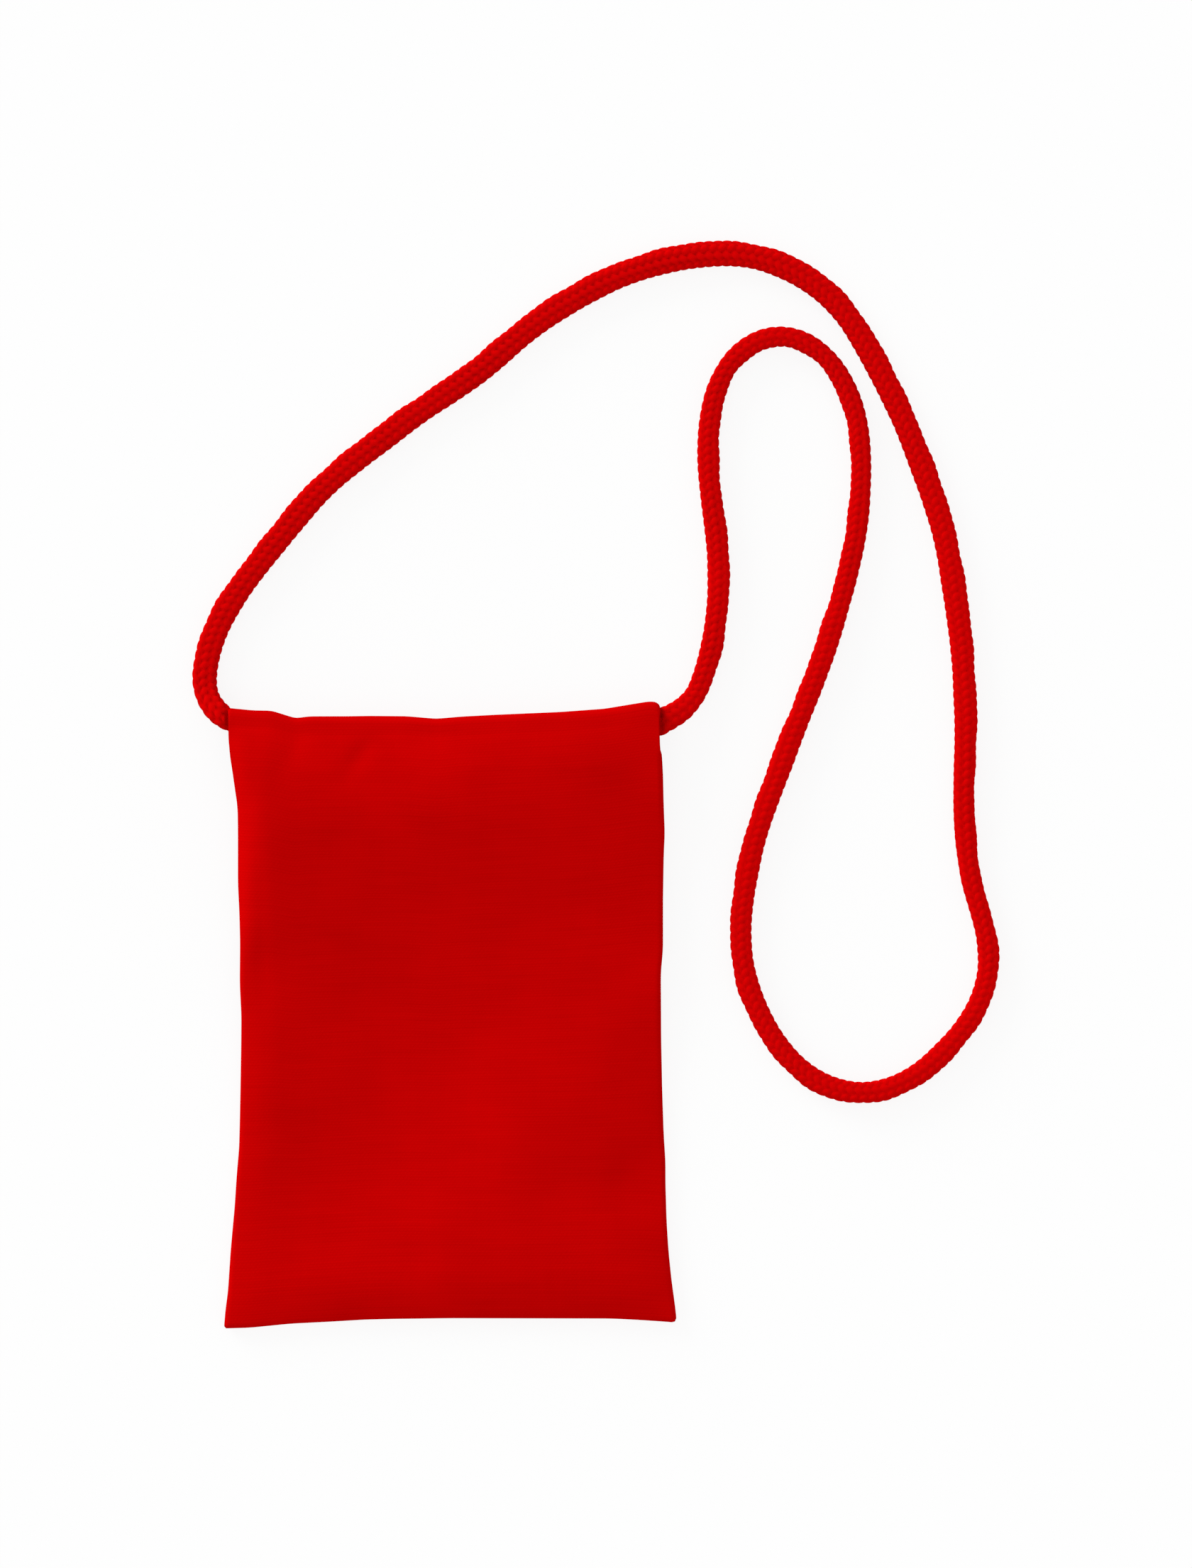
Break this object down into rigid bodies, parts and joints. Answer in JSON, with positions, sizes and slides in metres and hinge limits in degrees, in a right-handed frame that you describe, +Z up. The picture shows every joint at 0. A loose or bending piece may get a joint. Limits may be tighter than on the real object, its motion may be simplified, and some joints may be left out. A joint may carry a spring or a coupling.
{
  "type": "chest bag",
  "caption": "Flat canvas neck pouch with a closed flap over a hidden front pocket and a braided neck cord caught in its top corners, lying back uppermost.",
  "frame": {"origin": "middle of the bag's footprint on the surface it lies on, without its cord", "axes": "+Z up from the flap to the plain back, +Y towards the top fold, +X to the right as seen from above"},
  "size_m": [0.2196, 0.2971, 0.0137],
  "materials": {
    "pouch_canvas": "matt plain-weave canvas",
    "hook_tape": "woven tape with stiff moulded hooks",
    "loop_tape": "woven tape with brushed loops",
    "cord_braid": "round braid with a soft sheen"
  },
  "bodies": {
    "root": {"pouch_shell": "pouch_canvas", "hook_tape": "hook_tape", "loop_tape": "loop_tape", "neck_cord": "cord_braid"}
  },
  "joints": []
}
